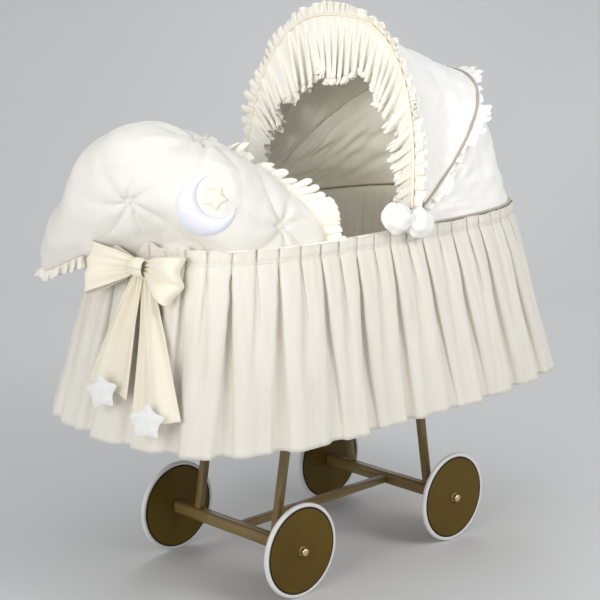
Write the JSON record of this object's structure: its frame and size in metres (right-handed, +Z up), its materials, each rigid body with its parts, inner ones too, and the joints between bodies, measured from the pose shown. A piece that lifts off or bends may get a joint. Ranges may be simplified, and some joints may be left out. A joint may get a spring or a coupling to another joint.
{
  "type": "bassinet on stand",
  "caption": "Wicker bassinet on a wheeled wooden stand, with a folding two-hoop fabric hood, a long pleated skirt, a quilt, and a ribbon bow at the foot.",
  "frame": {"origin": "on the floor, midway between the four wheels and under the middle of the basket", "axes": "+X towards the head end with the hood, +Y towards the side away from the bow's usual viewer, +Z up"},
  "size_m": [1.1677, 0.6776, 1.1598],
  "materials": {
    "wood": "golden brown varnish, half gloss",
    "wheel_disc": "golden brown painted plywood, satin",
    "tyre": "pale grey-white, matt",
    "brass": "polished",
    "steel": "zinc plated",
    "wicker": "natural cane, satin",
    "ivory_cotton": "matt ivory cotton",
    "white_cotton": "matt off-white cotton",
    "ribbon": "matt cream cotton, slightly crisp"
  },
  "bodies": {
    "root": {"base_board": "wood", "basket_rim": "wicker", "basket_shell": "wicker", "bow_knot": "ribbon", "bow_left_loop": "ribbon", "bow_left_tail": "ribbon", "bow_right_loop": "ribbon", "bow_right_tail": "ribbon", "far_hood_bow": "white_cotton", "far_hood_bracket": "steel", "far_hood_pivot_pin": "brass", "far_side_rail": "wood", "foot_axle_beam": "wood", "foot_cross_rail": "wood", "foot_far_axle_pin": "steel", "foot_far_basket_bolt": "steel", "foot_far_cap_nut": "brass", "foot_far_hub_washer": "steel", "foot_far_leg": "wood", "foot_near_axle_pin": "steel", "foot_near_basket_bolt": "steel", "foot_near_cap_nut": "brass", "foot_near_hub_washer": "steel", "foot_near_leg": "wood", "head_axle_beam": "wood", "head_cross_rail": "wood", "head_far_axle_pin": "steel", "head_far_basket_bolt": "steel", "head_far_cap_nut": "brass", "head_far_hub_washer": "steel", "head_far_leg": "wood", "head_near_axle_pin": "steel", "head_near_basket_bolt": "steel", "head_near_cap_nut": "brass", "head_near_hub_washer": "steel", "head_near_leg": "wood", "hood_rear_panel": "white_cotton", "left_star": "white_cotton", "liner": "ivory_cotton", "mattress": "white_cotton", "near_hood_bow": "white_cotton", "near_hood_bracket": "steel", "near_hood_pivot_pin": "brass", "near_side_rail": "wood", "quilt": "ivory_cotton", "right_star": "white_cotton", "skirt": "ivory_cotton", "stretcher": "wood"},
    "foot_near_wheel": {"foot_near_wheel_disc": "wheel_disc", "foot_near_tyre": "tyre"},
    "foot_far_wheel": {"foot_far_wheel_disc": "wheel_disc", "foot_far_tyre": "tyre"},
    "head_near_wheel": {"head_near_wheel_disc": "wheel_disc", "head_near_tyre": "tyre"},
    "head_far_wheel": {"head_far_wheel_disc": "wheel_disc", "head_far_tyre": "tyre"},
    "hood_rear": {"hood_rear_hoop": "steel"},
    "hood_front": {"hood_front_hoop": "steel", "hood_front_panel": "white_cotton"}
  },
  "joints": [
    {"name": "foot_near_wheel_spin", "type": "hinge", "parent": "root", "child": "foot_near_wheel", "pos_m": [-0.238, -0.1935, 0.1], "axis": [0, 1, 0], "continuous": true},
    {"name": "foot_far_wheel_spin", "type": "hinge", "parent": "root", "child": "foot_far_wheel", "pos_m": [-0.238, 0.1935, 0.1], "axis": [0, 1, 0], "continuous": true},
    {"name": "head_near_wheel_spin", "type": "hinge", "parent": "root", "child": "head_near_wheel", "pos_m": [0.238, -0.1935, 0.1], "axis": [0, 1, 0], "continuous": true},
    {"name": "head_far_wheel_spin", "type": "hinge", "parent": "root", "child": "head_far_wheel", "pos_m": [0.238, 0.1935, 0.1], "axis": [0, 1, 0], "continuous": true},
    {"name": "hood_rear_fold", "type": "hinge", "parent": "root", "child": "hood_rear", "pos_m": [0.03, 0, 0.752], "axis": [0, 1, 0], "range_deg": [0, 28], "deforming": ["hood_rear_panel"]},
    {"name": "hood_front_fold", "type": "hinge", "parent": "hood_rear", "child": "hood_front", "pos_m": [0.03, 0, 0.752], "axis": [0, 1, 0], "range_deg": [0, 37], "deforming": ["hood_front_panel"]}
  ],
  "couplings": [
    {"joint": "hood_front_fold", "follows": "hood_rear_fold", "ratio": 1.32}
  ]
}
